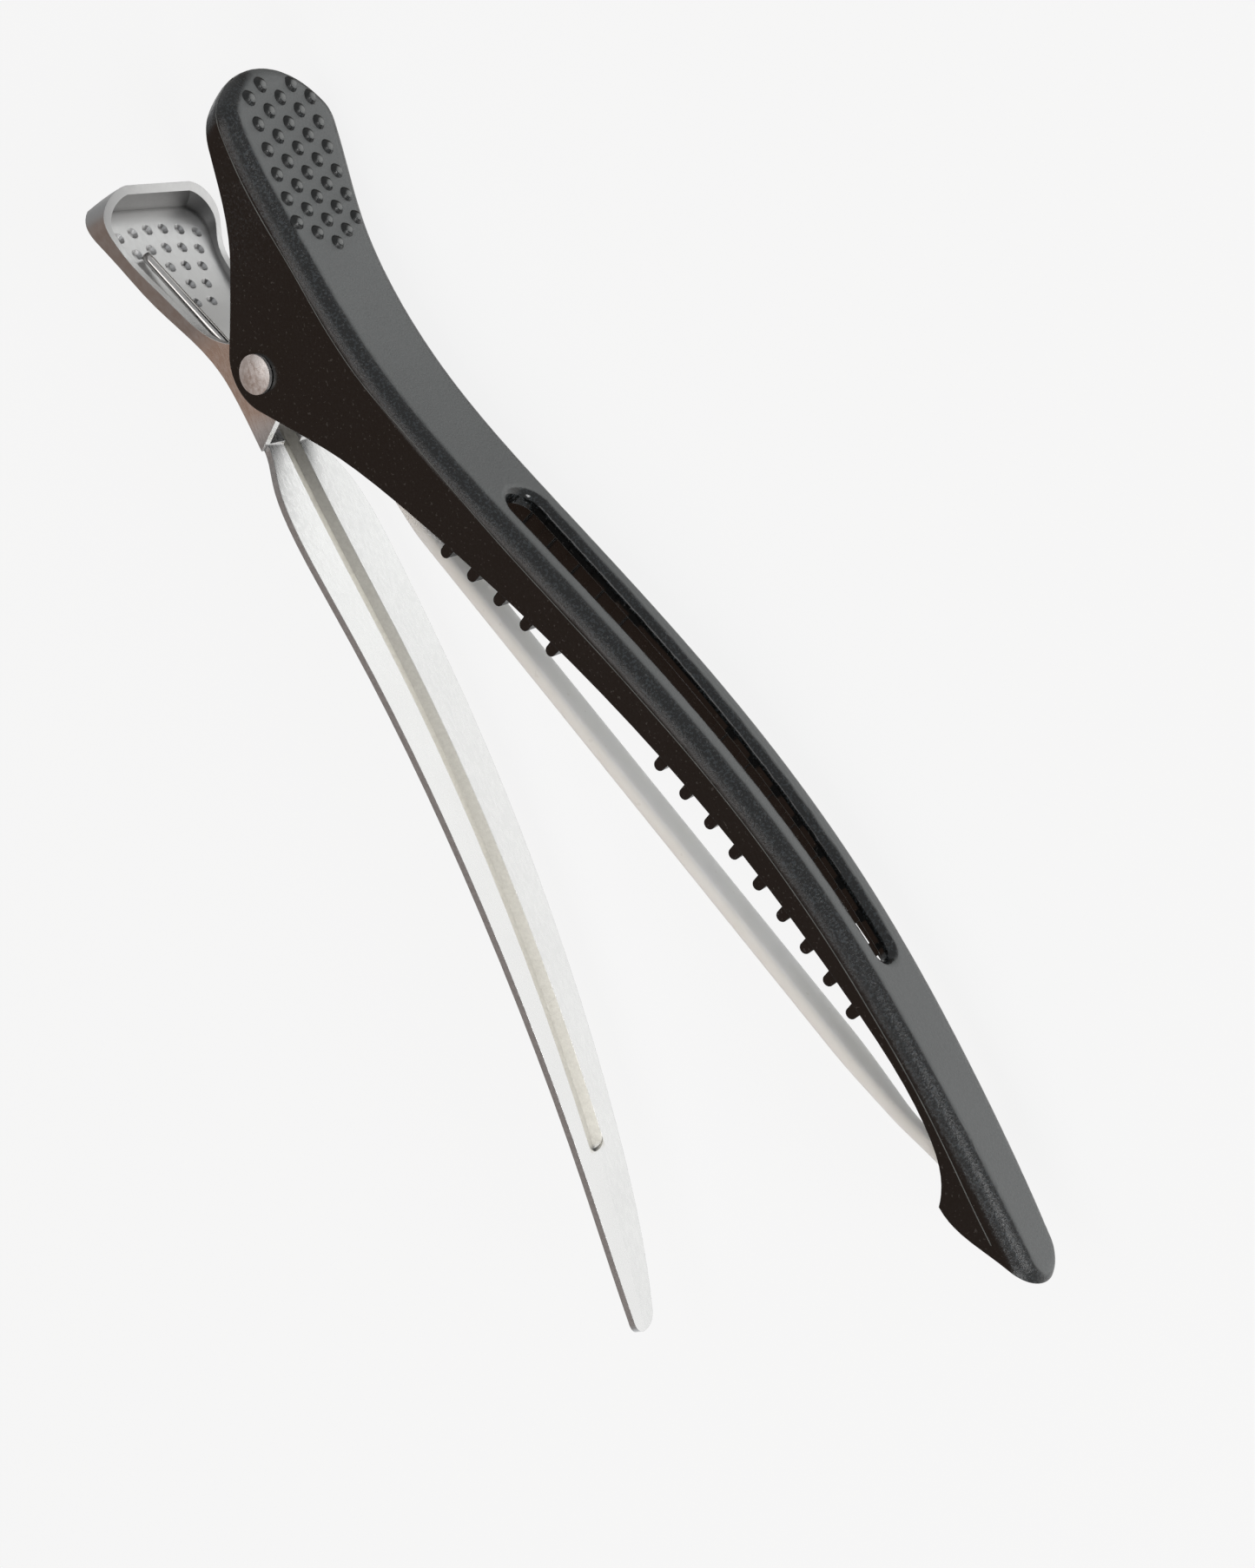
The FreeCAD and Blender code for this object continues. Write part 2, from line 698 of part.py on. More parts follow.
def ordered_points(edge, so_far):
    """Points along an edge, from the end where the last one stopped."""
    found = edge.discretize(8)
    if so_far and (found[0] - so_far[-1][1]).Length > (found[-1] - so_far[-1][1]).Length:
        found.reverse()
    return found


def make_spring():
    """The torsion spring: one wire, coiled round the pin, with a leg on each pad."""
    edges = spring_path()
    print("spring wire, least gap to itself: %.2f mm" % least_gap(edges))
    path = Part.Wire(edges)
    start = edges[0].valueAt(edges[0].FirstParameter)
    inward = edges[0].tangentAt(edges[0].FirstParameter)
    section = Part.Wire(Part.Circle(start, inward, wire_d / 2).toShape())
    return path.makePipeShell([section], True, False)


def opened(shape):
    """A piece of the jaw, turned about the hinge to the stored pose."""
    turned = shape.copy()
    turned.rotate(V(0, 0, 0), V(0, 0, 1), open_deg)
    return turned


def main():
    os.makedirs("parts", exist_ok=True)
    pieces = {
        "jaw": opened(make_jaw()),
        "lever": make_lever(),
        "torsion_spring": make_spring(),
        "hinge_rivet": make_rivet(),
        "band": opened(make_band()),
    }
    whole = Part.makeCompound(list(pieces.values())).optimalBoundingBox()
    shift = V(-(whole.XMin + whole.XMax) / 2, -(whole.YMin + whole.YMax) / 2, -whole.ZMin)
    for name, shape in pieces.items():
        shape.translate(shift)
        shape.exportStep("parts/%s.step" % name)
        print(name, len(shape.Solids), "valid", shape.isValid(), "volume %.1f" % shape.Volume)
    print("hinge axis at x %.4f y %.4f mm, mid-width z %.4f mm" % (shift.x, shift.y, shift.z))


main()
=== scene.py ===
import json
import math

import bpy
import numpy as np
from mathutils import Matrix, Vector
from mathutils.bvhtree import BVHTree


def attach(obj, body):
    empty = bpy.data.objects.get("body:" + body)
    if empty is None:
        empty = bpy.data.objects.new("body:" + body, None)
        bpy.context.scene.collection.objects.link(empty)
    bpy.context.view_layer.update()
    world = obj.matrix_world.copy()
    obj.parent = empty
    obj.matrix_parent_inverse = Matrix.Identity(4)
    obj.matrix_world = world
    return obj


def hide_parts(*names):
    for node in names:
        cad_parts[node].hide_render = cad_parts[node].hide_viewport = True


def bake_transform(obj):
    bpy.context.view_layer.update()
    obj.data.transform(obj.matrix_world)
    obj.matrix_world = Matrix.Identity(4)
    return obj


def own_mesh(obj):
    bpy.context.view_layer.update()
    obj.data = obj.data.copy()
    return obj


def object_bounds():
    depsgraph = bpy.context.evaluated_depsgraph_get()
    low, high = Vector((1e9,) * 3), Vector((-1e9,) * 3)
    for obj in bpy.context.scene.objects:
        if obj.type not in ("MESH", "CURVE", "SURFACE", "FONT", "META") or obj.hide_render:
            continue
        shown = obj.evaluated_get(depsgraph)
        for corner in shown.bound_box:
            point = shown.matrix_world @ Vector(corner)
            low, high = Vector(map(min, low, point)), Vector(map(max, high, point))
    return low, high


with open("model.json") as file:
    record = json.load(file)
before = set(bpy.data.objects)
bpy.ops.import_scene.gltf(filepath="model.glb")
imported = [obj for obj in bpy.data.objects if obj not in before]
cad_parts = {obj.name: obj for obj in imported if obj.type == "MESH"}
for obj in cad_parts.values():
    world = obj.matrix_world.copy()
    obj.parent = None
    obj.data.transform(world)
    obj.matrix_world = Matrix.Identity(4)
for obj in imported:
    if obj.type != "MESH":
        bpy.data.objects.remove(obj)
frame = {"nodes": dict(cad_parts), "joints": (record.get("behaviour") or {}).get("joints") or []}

cad_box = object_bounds()
MM = 0.001

# The hinge's place, and the angle that the jaw stands open at rest
hinge = frame["joints"][0]
hinge_x, hinge_y, middle_z = (v / MM for v in hinge["pos_m"])
open_angle = math.radians(-hinge["range_deg"][0])

# Sizes shared with the part, in millimetres, from the hinge in the closed clip's axes
dome_first = -3.1
dome_pitch = 1.97
dome_rows = 14
stud_height = 0.3
groove_end = 66.2
band_path = [(8.4, 2.0), (13.0, 0.75), (17.0, 0.2), (74.5, 0.2), (82.6, 1.3)]
band_width = 2.6
band_thick = 1.2
band_nose_width = 1.2
bead_r = 0.8
wire_r = 0.4
coil_r = 2.0
coil_turns = 3
coil_pitch = 1.24
lower_leg_end = (-12.6, -7.9)
upper_leg_end = (-12.2, 6.2)
lower_leg_spread = 1.2
upper_leg_spread = 0.8

# Where the jaw's rounded shoulders meet its side walls, seen from the side
shoulder_line = [(-16.5, 14.35), (-14.0, 13.15), (-11.5, 11.9), (-8.4, 10.5), (-6.9, 9.8), (-1.5, 8.4),
                 (2.1, 7.5), (4.1, 7.2), (8.0, 6.8), (12.9, 7.1), (17.0, 7.1), (24.0, 7.3),
                 (30.6, 7.7), (37.2, 8.1), (45.0, 8.35), (51.5, 8.2), (57.2, 7.7), (62.6, 7.0),
                 (67.9, 6.0), (73.1, 4.9), (77.9, 3.5), (82.7, 1.8), (85.4, 1.0)]
parting_r = 0.045
parting_sides = 6
parting_step = 0.5
parting_smoothing = 5.0

# The slot's lip, which narrows towards the nose
lip_rear = 19.5
lip_front = 66.0
lip_half_width = 3.05
lip_taper = 0.0185

# Round domes that cover the part's ten-sided studs
dome_r = 0.58
dome_height = 0.38
dome_skirt_r = 1.12 * dome_r
dome_sink = 0.05
dome_rings = 6
dome_sides = 20

# The band's bends, soft edges, taper into the nose, and beads
soft_bend_r = 15.0
bend_most = 0.45    # share of a straight that one bend may take
bend_steps = 8
band_corner_r = 0.42
band_corner_steps = 4
band_step = 0.8
nose_taper_start = 67.0
nose_taper_length = 10.0
bead_sides = 20
bead_ends = [(0.0, 0.5), (0.1, 0.86), (0.25, 1.0)]    # distance from an end, and share of the radius

# The spring's wire
wire_sides = 16
coil_step = math.radians(12)
leg_steps = 24

# Distances from which a ray finds the jaw's side or top
beside_jaw = 20.0
above_jaw = 40.0


def at_lever(x, y, z=0.0):
    """A point given from the hinge in the lever's axes, in metres in the row frame."""
    return Vector((hinge_x + x, hinge_y + y, middle_z + z)) * MM


def turned(x, y):
    """A direction in the closed jaw's side view, turned as the open jaw is."""
    c, s = math.cos(open_angle), math.sin(open_angle)
    return x * c - y * s, x * s + y * c


def at_jaw(x, y, z=0.0):
    """A point given from the hinge in the closed jaw's axes, in metres where the open jaw has it."""
    return at_lever(*turned(x, y), z)


def jaw_direction(x, y):
    return Vector((*turned(x, y), 0)).normalized()


# Nodes


def set_inputs(tree, node, inputs):
    """Sets each input, or links it where its value is another node's output."""
    for key, value in inputs.items():
        if isinstance(value, bpy.types.NodeSocket):
            tree.links.new(value, node.inputs[key])
        else:
            node.inputs[key].default_value = value


def add(tree, kind, inputs=None, **settings):
    node = tree.nodes.new(kind)
    for key, value in settings.items():
        setattr(node, key, value)
    set_inputs(tree, node, inputs or {})
    return node


def new_material(name):
    """A material with its tree, its shader, and the place and normal of the shaded point."""
    material = bpy.data.materials.new(name)
    material.use_nodes = True
    tree = material.node_tree
    coords = add(tree, "ShaderNodeTexCoord")
    return material, tree, tree.nodes["Principled BSDF"], coords.outputs["Object"], coords.outputs["Normal"]


def math_node(tree, operation, a, b=0.0):
    return add(tree, "ShaderNodeMath", {0: a, 1: b}, operation=operation).outputs[0]


def plus(tree, a, b):
    return math_node(tree, "ADD", a, b)


def minus(tree, a, b):
    return math_node(tree, "SUBTRACT", a, b)


def times(tree, a, b):
    return math_node(tree, "MULTIPLY", a, b)


def either(tree, a, b):
    return math_node(tree, "MAXIMUM", a, b)


def size_of(tree, value):
    return math_node(tree, "ABSOLUTE", value)


def dot(tree, vector, direction):
    node = add(tree, "ShaderNodeVectorMath", {0: vector, 1: direction}, operation="DOT_PRODUCT")
    return node.outputs["Value"]


def remap(tree, value, low, high, to_low=0.0, to_high=1.0):
    """The value's share between low and high, eased, as a number from to_low to to_high."""
    inputs = {"Value": value, "From Min": low, "From Max": high, "To Min": to_low, "To Max": to_high}
    return add(tree, "ShaderNodeMapRange", inputs, interpolation_type="SMOOTHSTEP").outputs["Result"]


def falls(tree, value, low, high):
    """1 up to low, and 0 from high on."""
    return remap(tree, value, low, high, 1, 0)


def noise(tree, where, scale, detail=2.0, roughness=0.5):
    inputs = {"Vector": where, "Scale": scale, "Detail": detail, "Roughness": roughness}
    return add(tree, "ShaderNodeTexNoise", inputs).outputs["Fac"]


def spread(tree, grain, low, high):
    """The middle of a noise, where most of it lies, as a number from low to high."""
    return remap(tree, grain, 0.3, 0.7, low, high)


def mix(tree, share, a, b):
    """Colour a where the share is 0 and colour b where it is 1."""
    return add(tree, "ShaderNodeMix", {0: share, 6: a, 7: b}, data_type="RGBA").outputs[2]


def rgb(r, g, b):
    return (r, g, b, 1.0)


def add_relief(tree, shader, height, strength, depth, edge_r=0.0):
    """Bumps up to depth millimetres high, over edges that look rounded to edge_r millimetres."""
    bump = add(tree, "ShaderNodeBump", {"Height": height, "Strength": strength, "Distance": depth * MM})
    if edge_r:
        soft = add(tree, "ShaderNodeBevel", {"Radius": edge_r * MM}, samples=4)
        tree.links.new(soft.outputs["Normal"], bump.inputs["Normal"])
    tree.links.new(bump.outputs["Normal"], shader.inputs["Normal"])


# Materials


def jaw_plastic():
    """Charcoal moulding: a satin top painted paler grey as the lit face, dark shoulders with painted
    speckled highlights, smooth side walls and a glossy slot lip.
    """
    material, tree, shader, where, normal = new_material("jaw_plastic")
    ahead = jaw_direction(1, 0)
    along = minus(tree, dot(tree, where, ahead), at_jaw(0, 0).dot(ahead))
    aside = size_of(tree, minus(tree, dot(tree, where, (0, 0, 1)), middle_z * MM))
    up = dot(tree, normal, jaw_direction(0, 1))
    side = size_of(tree, dot(tree, normal, (0, 0, 1)))

    # How far a point belongs to the slot's lip, to the flat top, to a flat side or to a shoulder
    behind_front = falls(tree, along, (lip_front - 0.2) * MM, (lip_front + 0.2) * MM)
    in_slot = times(tree, remap(tree, along, (lip_rear - 0.2) * MM, (lip_rear + 0.2) * MM), behind_front)
    tapered = plus(tree, aside, times(tree, along, lip_taper))
    between = falls(tree, tapered, (lip_half_width - 0.07) * MM, (lip_half_width + 0.07) * MM)
    lip = times(tree, times(tree, in_slot, between), falls(tree, up, 0.86, 0.965))
    top = times(tree, falls(tree, side, 0.12, 0.32), remap(tree, up, 0.6, 0.8))
    top = minus(tree, top, times(tree, top, lip))
    flat = remap(tree, side, 0.96, 0.995)
    shoulder = times(tree, minus(tree, 1.0, top), minus(tree, 1.0, flat))

    grain = noise(tree, where, 5200, 3, 0.6)
    fine = noise(tree, where, 12000, 2, 0.6)
    cloud = noise(tree, where, 260, 3)
    speck = remap(tree, noise(tree, where, 4200, 1), 0.66, 0.74)
    # Painted highlight: paler blue-grey specks over the shoulders stand in for the speckled glints they
    # catch.
    shoulder_painted_glints = times(tree, shoulder, remap(tree, grain, 0.5, 0.62, 0, 0.42))

    black = mix(tree, cloud, rgb(0.0045, 0.0045, 0.0043), rgb(0.007, 0.007, 0.0067))
    # Painted light: the top faces get a paler grey than the side walls, standing in for the bright floor
    # they reflect.
    painted_top_light = mix(tree, cloud, rgb(0.118, 0.122, 0.121), rgb(0.134, 0.139, 0.138))
    body = mix(tree, top, black, painted_top_light)
    body = mix(tree, shoulder_painted_glints, body, rgb(0.06, 0.072, 0.08))
    body = mix(tree, times(tree, speck, 0.22), body, rgb(0.16, 0.15, 0.14))

    rough = remap(tree, top, 0, 1, 0.26, 0.48)
    rough = plus(tree, rough, times(tree, flat, -0.04))
    rough = plus(tree, rough, spread(tree, grain, -0.05, 0.05))
    rough = plus(tree, rough, times(tree, lip, -0.2))
    set_inputs(tree, shader, {"Base Color": body, "Roughness": rough})
    shader.inputs["Specular IOR Level"].default_value = 0.6

    height = plus(tree, grain, times(tree, fine, 0.4))
    strength = remap(tree, either(tree, flat, lip), 0, 1, 1.0, 0.05)
    add_relief(tree, shader, height, strength, 0.042, edge_r=0.1)
    return material


def dome_plastic():
    """The same moulding on the grip domes: nearly black, with a painted highlight as a paler crown, tilted
    towards the tips.
    """
    material, tree, shader, where, normal = new_material("dome_plastic")
    grain = noise(tree, where, 6000, 2)
    # Painted highlight: faces turned towards this way get a paler grey, standing in for light the domes
    # catch.
    dome_highlight_way = Vector((0.17, 0.98, 0.04)).normalized()
    crown = remap(tree, dot(tree, normal, dome_highlight_way), 0.8, 0.985)
    black = mix(tree, grain, rgb(0.007, 0.0075, 0.007), rgb(0.012, 0.0125, 0.012))
    worn_groove_and_painted_crown = mix(tree, grain, rgb(0.14, 0.143, 0.14), rgb(0.2, 0.203, 0.198))
    body = mix(tree, crown, black, worn_groove_and_painted_crown)
    set_inputs(tree, shader, {"Base Color": body, "Roughness": spread(tree, grain, 0.26, 0.4)})
    add_relief(tree, shader, grain, 0.4, 0.01)
    return material


def flash_plastic():
    """The raised line that the mould's parting leaves, painted paler in broken patches as a highlight along
    its ridge.
    """
    material, tree, shader, where, _ = new_material("flash_plastic")
    broken = noise(tree, where, 900, 2)
    # Painted highlight: the paler patches stand in for light caught along the ridge.
    body = mix(tree, broken, rgb(0.03, 0.03, 0.028), rgb(0.17, 0.175, 0.165))
    set_inputs(tree, shader, {"Base Color": body, "Roughness": spread(tree, broken, 0.3, 0.55)})
    return material


def lever_metal():
    """Bright pressed aluminium: a duller groove and finger pad, sheared edges, and painted shade in the
    hollows and on the pad's upright walls.
    """
    material, tree, shader, where, normal = new_material("lever_metal")
    split = add(tree, "ShaderNodeSeparateXYZ", {0: where})
    along = minus(tree, split.outputs["X"], hinge_x * MM)
    aside = size_of(tree, minus(tree, split.outputs["Z"], middle_z * MM))

    # How far a point belongs to the blade, the groove, a sheared edge, the pad or the pad's upright walls,
    # which get painted shade
    blade = remap(tree, along, 2 * MM, 5 * MM)
    behind_end = falls(tree, along, (groove_end - 0.6) * MM, (groove_end + 0.2) * MM)
    groove = times(tree, times(tree, falls(tree, aside, 0.9 * MM, 1.0 * MM), blade), behind_end)
    sheared = times(tree, remap(tree, size_of(tree, dot(tree, normal, (0, 0, 1))), 0.75, 0.9), blade)
    in_pad = falls(tree, along, -6 * MM, -3 * MM)
    upright = falls(tree, size_of(tree, dot(tree, normal, (0, 1, 0))), 0.3, 0.75)
    drawn_marks_and_wall_shade = times(tree, upright, in_pad)

    stretched = add(tree, "ShaderNodeMapping", {"Vector": where, "Scale": (0.25, 1, 1)}).outputs[0]
    rolled = noise(tree, stretched, 5200, 3, 0.6)
    coarse = noise(tree, where, 3300, 3, 0.65)
    cloud = noise(tree, where, 180, 3)

    bright = mix(tree, cloud, rgb(0.86, 0.86, 0.855), rgb(0.93, 0.93, 0.925))
    pressed = mix(tree, coarse, rgb(0.64, 0.61, 0.54), rgb(0.92, 0.89, 0.81))
    cut = mix(tree, coarse, rgb(0.2, 0.193, 0.19), rgb(0.44, 0.425, 0.415))
    body = mix(tree, groove, bright, pressed)
    body = mix(tree, sheared, body, cut)
    # Painted shade: dark colour wherever the AO node finds dimples, corners and the groove's floor.
    hollow_shade = add(tree, "ShaderNodeAmbientOcclusion", {"Distance": 0.6 * MM}, samples=8, only_local=True)
    body = mix(tree, remap(tree, hollow_shade.outputs["AO"], 0.35, 0.85, 0.85, 0.0), body, rgb(0.1, 0.095, 0.09))
    body = mix(tree, times(tree, in_pad, 0.35), body, rgb(0.45, 0.44, 0.44))
    # Painted shade: the pad's upright walls are darkened, standing in for the dark they reflect.
    body = mix(tree, times(tree, drawn_marks_and_wall_shade, 0.6), body, rgb(0.25, 0.245, 0.24))

    worn_groove_and_painted_crown = remap(tree, along, 8 * MM, 62 * MM, 0.2, 0.75)
    matt = either(tree, times(tree, groove, worn_groove_and_painted_crown), times(tree, sheared, 0.7))
    rough = plus(tree, spread(tree, rolled, 0.24, 0.34), times(tree, groove, 0.14))
    rough = plus(tree, rough, times(tree, in_pad, 0.14))
    set_inputs(tree, shader, {"Base Color": body, "Metallic": minus(tree, 1.0, matt), "Roughness": rough})

    coarseness = remap(tree, either(tree, groove, sheared), 0, 1, 0.35, 1.3)
    height = plus(tree, times(tree, coarse, coarseness), times(tree, rolled, 0.3))
    add_relief(tree, shader, height, 0.55, 0.014, edge_r=0.08)
    return material


def rivet_metal():
    """Satin aluminium, faintly dimpled by the setting tool."""
    material, tree, shader, where, _ = new_material("rivet_metal")
    pits = noise(tree, where, 2400, 3)
    body = mix(tree, pits, rgb(0.62, 0.59, 0.57), rgb(0.86, 0.84, 0.83))
    rough = spread(tree, pits, 0.4, 0.58)
    set_inputs(tree, shader, {"Base Color": body, "Metallic": 1.0, "Roughness": rough})
    add_relief(tree, shader, plus(tree, pits, noise(tree, where, 700, 2)), 0.5, 0.05)
    return material


def spring_wire():
    """Bright drawn wire, finely marked."""
    material, tree, shader, where, _ = new_material("spring_wire")
    drawn_marks_and_wall_shade = noise(tree, where, 3000, 3)
    body = mix(tree, drawn_marks_and_wall_shade, rgb(0.5, 0.48, 0.46), rgb(0.78, 0.76, 0.74))
    rough = spread(tree, drawn_marks_and_wall_shade, 0.14, 0.24)
    set_inputs(tree, shader, {"Base Color": body, "Metallic": 1.0, "Roughness": rough})
    add_relief(tree, shader, drawn_marks_and_wall_shade, 0.25, 0.01)
    return material


def band_elastic():
    """Off-white silicone: a satin skin, slightly cloudy, painted browner on its narrow sides as shade, with
    stray dust.
    """
    material, tree, shader, where, normal = new_material("band_elastic")
    # Painted shade: the narrow sides, which face along Z, get a warmer brown.
    side_shade_share = remap(tree, size_of(tree, dot(tree, normal, (0, 0, 1))), 0.45, 0.9)
    cloud = noise(tree, where, 320, 3)
    skin = noise(tree, where, 3500, 3)
    dust = remap(tree, noise(tree, where, 1500, 1), 0.73, 0.78)
    white = mix(tree, cloud, rgb(0.97, 0.93, 0.85), rgb(0.99, 0.965, 0.91))
    side_painted_shade = mix(tree, cloud, rgb(0.8, 0.765, 0.69), rgb(0.87, 0.84, 0.77))
    body = mix(tree, times(tree, side_shade_share, 0.7), white, side_painted_shade)
    body = mix(tree, times(tree, dust, 0.2), body, rgb(0.6, 0.56, 0.5))
    set_inputs(tree, shader, {"Base Color": body, "Roughness": spread(tree, skin, 0.55, 0.75)})
    shader.inputs["IOR"].default_value = 1.41
    shader.inputs["Subsurface Weight"].default_value = 1.0
    shader.inputs["Subsurface Radius"].default_value = (1.0, 1.0, 1.0)
    shader.inputs["Subsurface Scale"].default_value = 2.0 * MM
    add_relief(tree, shader, skin, 0.15, 0.012)
    return material


# Pieces


def new_object(name, vertices, faces, material, smooth=True):
    mesh = bpy.data.meshes.new(name)
    mesh.from_pydata([tuple(v) for v in vertices], [], faces)
    mesh.update()
    mesh.polygons.foreach_set("use_smooth", [smooth] * len(mesh.polygons))
    mesh.materials.append(material)
    obj = bpy.data.objects.new(name, mesh)
    bpy.context.scene.collection.objects.link(obj)
    return obj


def side_faces(rings, sides, first=0):
    """The faces between one ring of vertices and the next, from the vertex first on."""
    faces = []
    for i in range(rings - 1):
        for k in range(sides):
            a, b = first + i * sides + k, first + i * sides + (k + 1) % sides
            faces.append((a, b, b + sides, a + sides))
    return faces


def closed_faces(rings, sides):
    """The faces between the rings, and one over each end."""
    last = (rings - 1) * sides
    return side_faces(rings, sides) + [tuple(reversed(range(sides))), tuple(range(last, last + sides))]


def ring(middle, across, other, radius, sides):
    """Points round a middle, in the plane of two directions."""
    turns = [2 * math.pi * k / sides for k in range(sides)]
    return [middle + (across * math.cos(t) + other * math.sin(t)) * radius for t in turns]


def tube(name, points, radii, material, sides):
    """A round closed tube along points, with a radius for each."""
    tangents = [(points[min(i + 1, len(points) - 1)] - points[max(i - 1, 0)]).normalized()
                for i in range(len(points))]
    across = tangents[0].orthogonal().normalized()
    vertices = []
    for point, tangent, radius in zip(points, tangents, radii):
        across = (across - tangent * across.dot(tangent)).normalized()
        vertices += ring(point, across, tangent.cross(across), radius, sides)
    return new_object(name, vertices, closed_faces(len(points), sides), material)


def caster(node):
    """The node's surface, for rays."""
    mesh = frame["nodes"][node].data
    return BVHTree.FromPolygons([v.co.copy() for v in mesh.vertices],
                                [tuple(p.vertices) for p in mesh.polygons])


def smoothed(line, step, reach):
    """Evenly spaced points along a line of (x, y), averaged over a short reach."""
    xs, ys = zip(*line)
    x = np.arange(xs[0], xs[-1], step)
    y = np.interp(x, xs, ys)
    n = int(reach / step) | 1
    padded = np.concatenate([2 * y[0] - y[n // 2:0:-1], y, 2 * y[-1] - y[-2:-n // 2 - 1:-1]])
    return list(zip(x, np.convolve(padded, np.ones(n) / n, "valid")))


def parting_lines(hits, material):
    """A hair-thin raised line where each shoulder meets its side wall."""
    for name, direction in (("parting_line_near", -1), ("parting_line_far", 1)):
        points = []
        for x, y in smoothed(shoulder_line, parting_step, parting_smoothing):
            start = at_jaw(x, y, -beside_jaw * direction)
            place = hits.ray_cast(start, Vector((0, 0, direction)))[0]
            if place is not None:
                points.append(place)
        line = tube(name, points, [parting_r * MM] * len(points), material, parting_sides)
        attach(line, "upper_jaw")


def dome_profile():
    """Radius and height of each ring of a dome, from its sunken skirt to its crown."""
    ball_r = (dome_r ** 2 + dome_height ** 2) / (2 * dome_height)
    widest = math.asin(dome_r / ball_r)
    leans = [widest * (dome_rings - i) / dome_rings for i in range(1, dome_rings + 1)]
    caps = [(ball_r * math.sin(lean), ball_r * math.cos(lean) - ball_r + dome_height) for lean in leans]
    return [(dome_skirt_r, -dome_sink)] + caps


def grip_domes(hits, material):
    """Round domes over the thumb pad's studs, square to its curved face."""
    step = dome_pitch / 2 * math.cos(open_angle)
    column = dome_pitch * math.sqrt(3) / 2
    *rings, (_, crown) = dome_profile()
    vertices, faces = [], []
    for row in range(dome_rows):
        places = (0,) if row == 0 else (-1, 1) if row % 2 else (-2, 0, 2)
        for place in places:
            start = at_jaw(dome_first - row * step, above_jaw, place * column)
            tip, normal, _, _ = hits.ray_cast(start, -jaw_direction(0, 1))
            foot = tip - normal * stud_height * MM
            across = normal.orthogonal().normalized()
            other = normal.cross(across)
            first = len(vertices)
            for r, h in rings:
                vertices += ring(foot + normal * h * MM, across, other, r * MM, dome_sides)
            top = len(vertices)
            last = top - dome_sides
            vertices.append(foot + normal * crown * MM)
            faces += side_faces(dome_rings, dome_sides, first)
            faces += [(last + k, last + (k + 1) % dome_sides, top) for k in range(dome_sides)]
    domes = new_object("grip_domes", vertices, faces, material)
    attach(domes, "upper_jaw")


def rounded(path, r):
    """The path with each inner corner turned into a curve that starts where an arc of radius r would."""
    points = [Vector(path[0])]
    for a, b, c in zip(path, path[1:], path[2:]):
        a, b, c = Vector(a), Vector(b), Vector(c)
        u, v = (a - b).normalized(), (c - b).normalized()
        reach = r / math.tan(u.angle(v) / 2)
        reach = min(reach, bend_most * (a - b).length, bend_most * (c - b).length)
        p, q = b + u * reach, b + v * reach
        for i in range(bend_steps + 1):
            t = i / bend_steps
            points.append(p * (1 - t) ** 2 + b * 2 * t * (1 - t) + q * t ** 2)
    points.append(Vector(path[-1]))
    return points


def band_line():
    """Points close together along the band's middle."""
    line = rounded(band_path, soft_bend_r)
    points = [line[0]]
    for a, b in zip(line, line[1:]):
        n = max(1, round((b - a).length / band_step))
        points += [a + (b - a) * (i + 1) / n for i in range(n)]
    return points


def band_section(half_thick, half_width):
    """The band's outline across its length, with rounded corners, as (up, aside)."""
    r = band_corner_r
    outline = []
    for up, aside, start in ((1, 1, 0), (-1, 1, 90), (-1, -1, 180), (1, -1, 270)):
        for k in range(band_corner_steps + 1):
            turn = math.radians(start + 90 * k / band_corner_steps)
            outline.append((up * (half_thick - r) + r * math.cos(turn),
                            aside * (half_width - r) + r * math.sin(turn)))
    return outline


def band_strap(material):
    """The strap with soft edges, thinned into the nose."""
    line = band_line()
    vertices = []
    for i, p in enumerate(line):
        along = (line[min(i + 1, len(line) - 1)] - line[max(i - 1, 0)]).normalized()
        up = Vector((-along.y, along.x))
        share = min(max((p.x - nose_taper_start) / nose_taper_length, 0), 1)
        share = share * share * (3 - 2 * share)
        width = band_width * (1 - share) + band_nose_width * share
        outline = band_section(band_thick / 2, width / 2)
        vertices += [at_jaw(p.x + up.x * lift, p.y + up.y * lift, aside) for lift, aside in outline]
    return new_object("band_strap", vertices, closed_faces(len(line), len(outline)), material)


def band_bead(name, place, width, material):
    """A round bead across the band's end, with rounded ends of its own."""
    half = width / 2
    stops = [(-half + inset, share) for inset, share in bead_ends]
    stops += [(half - inset, share) for inset, share in reversed(bead_ends)]
    points = [at_jaw(*place, z) for z, _ in stops]
    return tube(name, points, [bead_r * share * MM for _, share in stops], material, bead_sides)


def elastic_band(material):
    """The strap and a bead at each end, carried by the upper jaw in place of the part's band."""
    strap = band_strap(material)
    pieces = [strap,
              band_bead("band_bead_rear", band_path[0], band_width, material),
              band_bead("band_bead_front", band_path[-1], band_nose_width, material)]
    for piece in pieces:
        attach(piece, "upper_jaw")
        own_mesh(piece)
    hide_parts("band")


